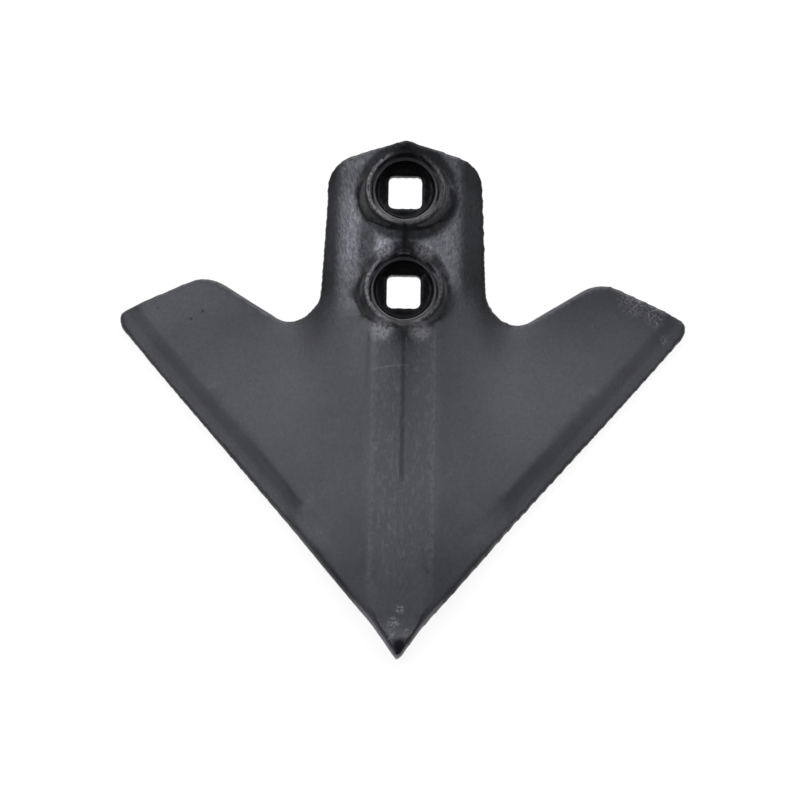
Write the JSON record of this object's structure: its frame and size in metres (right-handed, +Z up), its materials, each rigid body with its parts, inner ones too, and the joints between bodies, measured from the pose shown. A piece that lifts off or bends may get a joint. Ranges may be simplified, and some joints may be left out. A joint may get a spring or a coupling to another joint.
{
  "type": "cultivator sweep",
  "caption": "Pressed-plate cultivator sweep: swept wings with thinned cutting edges, a banded ridge and a ridged stem with recessed square bolt holes for fixing to a tine.",
  "frame": {"origin": "bottom centre of the bounding box, on the plane that the cutting edges rest on", "axes": "+X across the wings, -Y toward the nose, +Z up"},
  "size_m": [0.2206, 0.1838, 0.0804],
  "materials": {
    "black_paint": "satin black paint over hot-pressed steel, with small pits and scuffs"
  },
  "bodies": {
    "root": {"sweep": "black_paint"}
  },
  "joints": []
}
